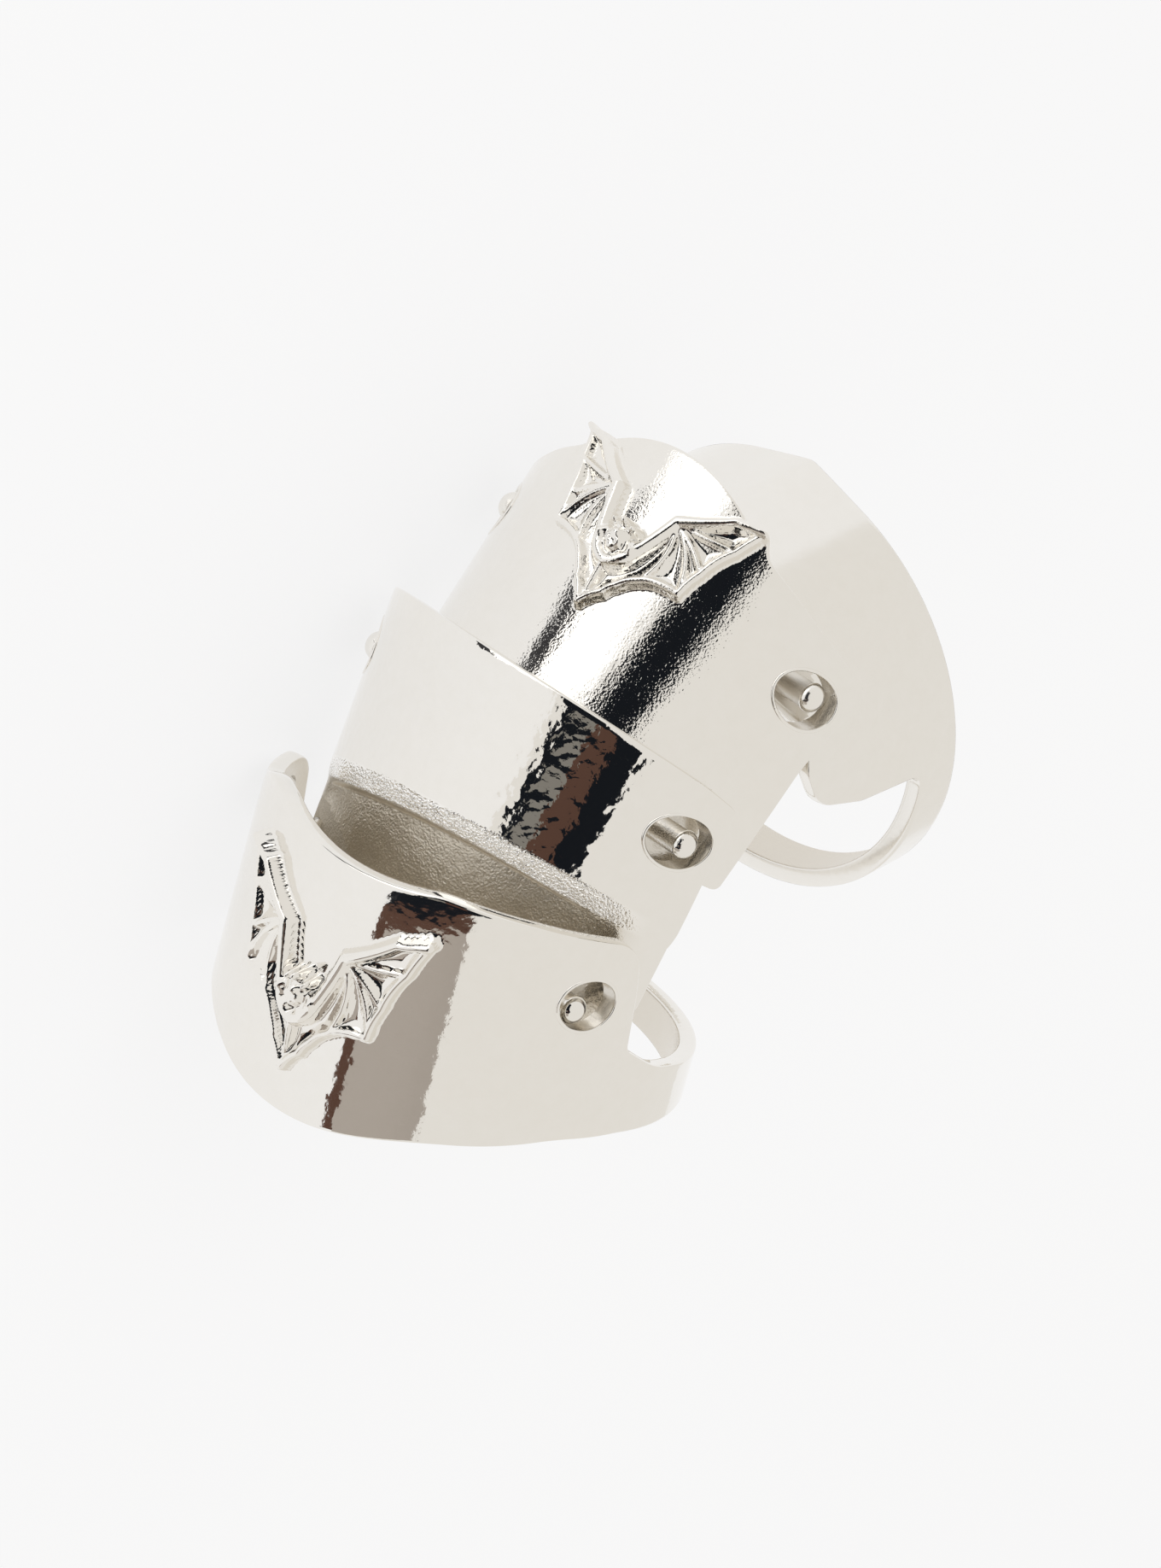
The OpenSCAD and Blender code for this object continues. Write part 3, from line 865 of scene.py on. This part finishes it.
def satin_lines():
    """Group: fine parallel polishing lines, as a height: noise stretched along a way."""
    if "satin lines" in bpy.data.node_groups:
        return bpy.data.node_groups["satin lines"]
    tree, given, made = group_tree(
        "satin lines",
        [("Place", "NodeSocketVector", None), ("Turn", "NodeSocketVector", (0.0, 0.0, 0.0)),
         ("Across", "NodeSocketVector", (9000.0, 500.0, 500.0))],
        [("Height", "NodeSocketFloat")])
    lines = noise(tree, stretched(tree, given, "Across"), 1.0, detail=3.0, rough=0.6)
    tree.links.new(lines, made.inputs["Height"])
    return tree


def mixed(tree, share, a, b):
    """The colour at a share of the way from a to b, each a colour or a socket."""
    node = tree.nodes.new("ShaderNodeMix")
    node.data_type = "RGBA"
    colours = [i for i in node.inputs if i.type == "RGBA"]
    for socket, value in zip(colours, (a, b)):
        linked = isinstance(value, bpy.types.NodeSocket)
        feed(tree, socket, value if linked else (*value, 1))
    tree.links.new(share, next(i for i in node.inputs if i.type == "VALUE" and i.enabled))
    return next(o for o in node.outputs if o.type == "RGBA")


def bump(tree, height, depth, below=None):
    """A Bump node over the normal below it."""
    node = tree.nodes.new("ShaderNodeBump")
    feed(tree, node.inputs["Distance"], depth)
    tree.links.new(height, node.inputs["Height"])
    if below is not None:
        tree.links.new(below, node.inputs["Normal"])
    return node.outputs["Normal"]


def silver(node, gloss, grain, share, satin=0.0, waves=(900, 2200, 2200)):
    """Material of one lame: polished silver with the waves and grain of a casting, fine
    polishing lines, darker rough metal in the holes and where no wheel reaches, whose
    darker colour is painted shade, and a painted highlight on the shoulder."""
    finish, (body, _, bend) = bpy.context.scene.silver_finish, LAMES[node]
    mat = bpy.data.materials.new("silver " + body)
    mat.use_nodes = True
    tree = mat.node_tree
    shader = tree.nodes["Principled BSDF"]
    shader.inputs["Metallic"].default_value = 1.0
    place = tree.nodes.new("ShaderNodeTexCoord").outputs["Object"]
    masks = {}
    for mask in ("recess", "rough", "edge"):
        read = tree.nodes.new("ShaderNodeAttribute")
        read.attribute_name = mask
        masks[mask] = read.outputs["Fac"]
    # recess carries painted shade, rough the cast skin with painted shade, edge a painted
    # highlight
    recess, rough, edge = masks.values()
    # Colour: soft clouds, fine mottling, then by mask the painted shade of the cast skin,
    # the painted highlight on the shoulder and the painted shade in the holes
    clouds = maths(tree, "MULTIPLY_ADD", noise(tree, place, 160.0), 0.6, 0.1)
    spots = noise(tree, place, 1300.0, detail=3.0, rough=0.7)
    colour = mixed(tree, clouds, finish.silver, finish.shade)
    for amount, over in (
            (maths(tree, "MULTIPLY", spots, finish.mottle), finish.spot),
            (maths(tree, "MULTIPLY", rough, finish.cast_shade_share), finish.cast),
            (edge, finish.bright),
            (maths(tree, "MULTIPLY", recess, finish.recess_shade_share), finish.dark)):
        colour = mixed(tree, amount, colour, over)
    tree.links.new(colour, shader.inputs["Base Color"])
    # Roughness: duller in the holes, and duller still on the cast skin
    dull = maths(tree, "MULTIPLY_ADD", recess, 0.2, gloss)
    dull = maths(tree, "ADD", dull, maths(tree, "MULTIPLY", rough, 0.32))
    tree.links.new(dull, shader.inputs["Roughness"])
    # Bump: the grain is stronger on the cast skin and strongest on the shoulder
    way = (0.0, 0.0, np.radians(-bend))
    grainy = maths(tree, "MULTIPLY_ADD", rough, 1.6, share)
    grainy = maths(tree, "MULTIPLY_ADD", edge, 14.0, grainy)
    peel = tree.nodes.new("ShaderNodeGroup")
    peel.node_tree = cast_grain()
    for label, value in (
            ("Place", place), ("Turn", way), ("Waves", waves), ("Share", grainy)):
        feed(tree, peel.inputs[label], value)
    deeper = maths(tree, "MULTIPLY_ADD", rough, grain * 0.6, grain)
    normal = bump(tree, peel.outputs["Height"], deeper)
    if satin:
        lines = tree.nodes.new("ShaderNodeGroup")
        lines.node_tree = satin_lines()
        lines.inputs["Turn"].default_value = way
        tree.links.new(place, lines.inputs["Place"])
        normal = bump(tree, lines.outputs["Height"], satin, normal)
    tree.links.new(normal, shader.inputs["Normal"])
    return mat


class RING_OT_base_band(bpy.types.Operator):
    """Build the closed base band with its crest and its two pegs"""

    bl_idname = "ring.base_band"
    bl_label = "Base band"

    def execute(self, context):
        scene = context.scene
        size, finish = scene.band_sizes, scene.silver_finish
        bore, axis, shank = mm(size.bore) / 2, mm(size.axis), mm(size.shank)
        radius = bore + mm(size.wall)
        lean = np.arccos(radius / (radius + mm(size.crest)))
        blunt, edge = 0.02, BAND_OUTLINE[1][0]

        def outer(x, f):
            # Two flats lean together into the crest: the radius over the cosine of the
            # lean less the angle off the crest, which a square root makes blunt
            off = np.abs((f - np.pi / 2 + np.pi) % (2 * np.pi) - np.pi)
            off = np.sqrt(off ** 2 + blunt ** 2) - blunt
            return radius / np.cos(np.clip(lean - off, 0, None)) + 0 * x

        def inner(x, f):
            # The bore, wider by a share of the relief from the shank to the far edge
            share = np.clip((x - shank) / (edge - shank), 0, 1)
            return bore + mm(size.relief) * share + 0 * f

        lame = Lame("base_band", BAND_OUTLINE, axis, outer, inner, closed=True)
        rows = lame.angles(fine_z=3.4, fine=0.14, coarse=0.17)
        shell = lame_mesh(lame, rows, knots=[shank], counts=[14, 50], inner_count=40)
        knuckle = scene.knuckle_sizes
        top = flank(mm(knuckle.radius), mm(knuckle.axis))
        mat = silver("base_band", finish.satin_gloss, finish.grain * 0.3, share=0.2,
                     satin=finish.satin)
        finish_lame(lame, shell, flank_parts(lame, radius, top), mat, top)
        return {"FINISHED"}


class RING_OT_knuckle_plate(bpy.types.Operator):
    """Build the knuckle plate with its bat, holes and pegs"""

    bl_idname = "ring.knuckle_plate"
    bl_label = "Knuckle plate"

    def execute(self, context):
        scene = context.scene
        size, finish = scene.knuckle_sizes, scene.silver_finish
        radius, axis, bat = mm(size.radius), mm(size.axis), scene.bat_sizes
        bat_start, spur_length, spur_width = -3.8, 0.5, 0.4

        def outer(x, f):
            # A cone: the radius less the taper times x
            return radius - size.taper * x + 0 * f

        def inner(x, f):
            return outer(x, f) - mm(scene.casting_sizes.wall)

        def spur(z, f):
            # A small bell on the rim under each wing tip, on the back only
            away = (np.abs(z) - mm(bat.span)) / spur_width
            return spur_length * np.exp(-away ** 2) * (np.sin(f) > 0)

        lame = Lame("knuckle_plate", KNUCKLE_OUTLINE, axis, outer, inner, closed=False)
        rows = lame.angles(fine_z=5.7, fine=0.075, coarse=0.16)
        shell = lame_mesh(
            lame, rows, knots=[3.6], counts=[110, 40], inner_count=40,
            relief=bat_relief(bat_start, mm(bat.knuckle_length), bat), spur=spur)
        middle = scene.middle_sizes
        top = flank(mm(middle.radius), mm(middle.axis))
        extras = flank_parts(lame, radius - size.taper * lame.pegs[0], top)
        mat = silver("knuckle_plate", finish.gloss, finish.grain * 0.7, share=1.9)
        finish_lame(lame, shell, extras, mat, top)
        return {"FINISHED"}


class RING_OT_middle_plate(bpy.types.Operator):
    """Build the middle plate with its shoulder, neck, holes and pegs"""

    bl_idname = "ring.middle_plate"
    bl_label = "Middle plate"

    def execute(self, context):
        scene = context.scene
        size, finish = scene.middle_sizes, scene.silver_finish
        radius, axis = mm(size.radius), mm(size.axis)
        shift, shoulder = mm(size.shift), mm(size.shoulder)
        neck_r = radius - size.taper * shoulder + shift - mm(size.neck)
        rise, round_off = 2.2, 0.16

        def surface(x, f, inset):
            # A soft minimum of a cone, which rounds off before the shoulder, and of a
            # neck about a deeper axis, which stands clear of the cone before it: the
            # less, less the log of the sum of their exponentials
            past = x - shoulder - shoulder_lean(radius * np.cos(f)) + inset * 0.75
            step = smooth_step(0.1, 0.7, past)
            around = neck_r - inset - size.taper * (x - shoulder) + (1 - step) * rise
            neck = flank(around, shift * np.cos(f)) - shift * np.sin(f)
            roll = round_off * np.clip((past + 0.5) / 0.95, 0, 1) ** 2
            cone = radius - inset - size.taper * x - roll
            soft = 0.03 + 0.25 * (inset > 0)
            low = np.minimum(neck, cone)
            total = np.exp((low - neck) / soft) + np.exp((low - cone) / soft)
            return low - soft * np.log(total)

        def outer(x, f):
            return surface(x, f, 0.0)

        def inner(x, f):
            return surface(x, f, mm(scene.casting_sizes.wall))

        lame = Lame("middle_plate", MIDDLE_OUTLINE, axis, outer, inner, closed=False)
        rows = lame.angles(fine_z=8.5, fine=0.13, coarse=0.15)
        shell = lame_mesh(lame, rows, knots=[3.0, 6.2], counts=[30, 56, 20], inner_count=60)
        tip, below = scene.tip_sizes, 0.4
        top = flank(mm(tip.radius), mm(tip.axis)) - below
        extras = flank_parts(lame, radius - size.taper * lame.pegs[0], top)
        mat = silver("middle_plate", finish.gloss * 0.7, finish.grain * 1.9, share=0.1,
                     waves=(750, 1800, 1800))
        # The neck past the shoulder gets the cast skin's painted shade, the shoulder a painted
        # highlight
        finish_lame(lame, shell, extras, mat, top, rough_from=shoulder)
        return {"FINISHED"}


class RING_OT_tip_ring(bpy.types.Operator):
    """Build the closed tip ring with its bat and its holes"""

    bl_idname = "ring.tip_ring"
    bl_label = "Tip ring"

    def execute(self, context):
        scene = context.scene
        size, finish = scene.tip_sizes, scene.silver_finish
        radius, axis, bat = mm(size.radius), mm(size.axis), scene.bat_sizes
        bat_start, curl_from, curl_length, curl_depth = -2.0, -1.0, 3.2, 0.13

        def outer(x, f):
            # The hand-side rim curls in with the square of the way past curl_from
            curl = curl_depth * np.clip((curl_from - x) / curl_length, 0, 1.2) ** 2
            return radius - size.taper * x - curl + 0 * f

        def inner(x, f):
            return outer(x, f) - mm(scene.casting_sizes.wall)

        def shorter_ear(z, f):
            # The far ear's rim is drawn back between these angles from the near flank
            turn, short = np.degrees(f), 1.1
            return -short * smooth_step(125, 148, turn) * smooth_step(179, 168, turn)

        lame = Lame("tip_ring", TIP_OUTLINE, axis, outer, inner, closed=True)
        rows = lame.angles(fine_z=5.7, fine=0.085, coarse=0.18)
        shell = lame_mesh(
            lame, rows, knots=[-2.4], counts=[12, 104], inner_count=26,
            relief=bat_relief(bat_start, mm(bat.tip_length), bat), spur=shorter_ear)
        mat = silver("tip_ring", finish.gloss, finish.grain * 0.9, share=0.15,
                     waves=(800, 1900, 1900))
        finish_lame(lame, shell, flank_parts(lame), mat)
        return {"FINISHED"}


def stage_mesh(name, points, faces, material):
    """A stage piece that isn't part of the object."""
    mesh = bpy.data.meshes.new(name)
    mesh.from_pydata(points, [], faces)
    mesh.materials.append(material)
    piece = bpy.data.objects.new(name, mesh)
    bpy.context.scene.collection.objects.link(piece)
    return piece


def flat_material(name, colour, glow):
    """A plain matt material that gives off a grey glow."""
    mat = bpy.data.materials.new(name)
    mat.use_nodes = True
    shader = mat.node_tree.nodes["Principled BSDF"]
    shader.inputs["Base Color"].default_value = (*colour, 1)
    shader.inputs["Roughness"].default_value = 0.9
    shader.inputs["Specular IOR Level"].default_value = 0.0
    shader.inputs["Emission Color"].default_value = (glow, glow, glow, 1)
    shader.inputs["Emission Strength"].default_value = 1.0
    return mat


def look_from(place, target, roll_up):
    """Matrix of a light at place that looks at target with roll_up upwards: its back,
    right and up are unit vectors, each the cross product of the other two."""
    back = (Vector(place) - Vector(target)).normalized()
    right = Vector(roll_up).cross(back).normalized()
    up = back.cross(right)
    turn = Matrix((right, up, back)).transposed().to_4x4()
    return Matrix.Translation(Vector(place)) @ turn


def screen(name, low, high, colour, glow, reach=0.5):
    """A screen that only shows in reflections: no camera ray or shadow meets it.

    A point of its lower or upper row stands at the middle plus reach times (cos a,
    sin a, tan h) for direction a and height h, or where the line to it meets the floor.
    """
    gap = 0.0003
    rows = np.array([low, high], float)
    angle, rise = np.radians(rows[..., 0]), np.radians(rows[..., 1])
    way = np.stack([np.cos(angle), np.sin(angle), np.tan(rise)], -1)
    drop = (MIDDLE[2] - CAD_BOX[0][2] - gap) / np.maximum(-way[..., 2], 1e-9)
    points = way * np.minimum(reach, drop)[..., None] + MIDDLE
    points, faces = grid_part(points, False, False)
    piece = stage_mesh(
        name, points.tolist(), faces.tolist(), flat_material(name, colour, glow))
    piece.visible_camera = piece.visible_shadow = piece.visible_diffuse = False


class RING_OT_stage(bpy.types.Operator):
    """Build the floor, the soft light and the camera"""

    bl_idname = "ring.stage"
    bl_label = "Stage"

    def execute(self, context):
        scene, look = context.scene, context.scene.studio_look
        corners = [(-1, -1), (1, -1), (1, 1), (-1, 1)]
        stage_mesh(
            "floor", [(x * FLOOR, y * FLOOR, CAD_BOX[0][2]) for x, y in corners],
            [(0, 1, 2, 3)], flat_material("floor", look.floor, look.glow))
        world = bpy.data.worlds.new("air")
        world.use_nodes = True
        air = world.node_tree.nodes["Background"]
        air.inputs["Color"].default_value = (*look.tint, 1)
        air.inputs["Strength"].default_value = look.air
        scene.world = world
        scene.view_settings.view_transform = "Standard"
        data = bpy.data.lights.new("key", "AREA")
        data.shape, data.size, data.energy = "SQUARE", KEY_SIDE, look.key
        key = bpy.data.objects.new("key", data)
        scene.collection.objects.link(key)
        key.matrix_world = look_from(KEY_PLACE, MIDDLE, (0.1, 0.2, 1))
        key.visible_glossy = False
        for row in SCREENS:
            screen(*row)
        # e1 runs along the finger, w leans by the tilt out of the ring's own plane
        along, tilt, roll = np.radians([ALONG, TILT, ROLL])
        e1 = np.array([np.cos(along), np.sin(along), 0])
        e2 = np.array([-np.sin(along), np.cos(along), 0])
        w = np.sin(tilt) * e2 + np.cos(tilt) * np.array([0, 0, 1.0])
        right = -np.cos(roll) * e1 + np.sin(roll) * w
        down = np.sin(roll) * e1 + np.cos(roll) * w
        back = np.cross(right, -down)
        aim = np.array(hinge_of("middle_hinge")) + (AIM[0] * right + AIM[1] * down) / MM
        data = bpy.data.cameras.new("camera")
        data.lens, data.sensor_fit = LENS, "VERTICAL"
        data.sensor_width = data.sensor_height = 36.0
        data.clip_start, data.clip_end = 0.01, 10.0
        camera = bpy.data.objects.new("camera", data)
        scene.collection.objects.link(camera)
        turn = Matrix(np.column_stack([right, -down, back]).tolist()).to_4x4()
        camera.matrix_world = Matrix.Translation(Vector(aim + back * DISTANCE)) @ turn
        scene.camera = camera
        return {"FINISHED"}


class RING_PT_panel(bpy.types.Panel):
    """Sidebar list of the ring's pieces."""

    bl_idname = "RING_PT_panel"
    bl_label = "Knuckle ring"
    bl_space_type = "VIEW_3D"
    bl_region_type = "UI"
    bl_category = "Knuckle ring"

    def draw(self, context):
        for group in GROUPS:
            box = self.layout.box()
            settings = getattr(context.scene, group)
            for prop in settings.bl_rna.properties:
                if prop.identifier not in ("rna_type", "name"):
                    box.prop(settings, prop.identifier)
        for operator in OPERATORS:
            self.layout.operator(operator.bl_idname)


GROUPS = {
    "band_sizes": BandSizes, "knuckle_sizes": KnuckleSizes, "middle_sizes": MiddleSizes,
    "tip_sizes": TipSizes, "casting_sizes": CastingSizes, "bat_sizes": BatSizes,
    "silver_finish": SilverFinish, "studio_look": StudioLook}
OPERATORS = [
    RING_OT_base_band, RING_OT_knuckle_plate, RING_OT_middle_plate, RING_OT_tip_ring,
    RING_OT_stage]


def register():
    """Registers the classes and puts the settings on the scene."""
    for cls in (*GROUPS.values(), *OPERATORS, RING_PT_panel):
        bpy.utils.register_class(cls)
    for name, cls in GROUPS.items():
        setattr(bpy.types.Scene, name, PointerProperty(type=cls))


def unregister():
    """Takes the settings and the classes away again."""
    for name in GROUPS:
        delattr(bpy.types.Scene, name)
    for cls in (RING_PT_panel, *reversed(OPERATORS), *reversed(list(GROUPS.values()))):
        bpy.utils.unregister_class(cls)


def main():
    """Builds the ring and its stage."""
    register()
    bpy.ops.ring.base_band()
    bpy.ops.ring.knuckle_plate()
    bpy.ops.ring.middle_plate()
    bpy.ops.ring.tip_ring()
    bpy.ops.ring.stage()


if __name__ == "__main__":
    main()
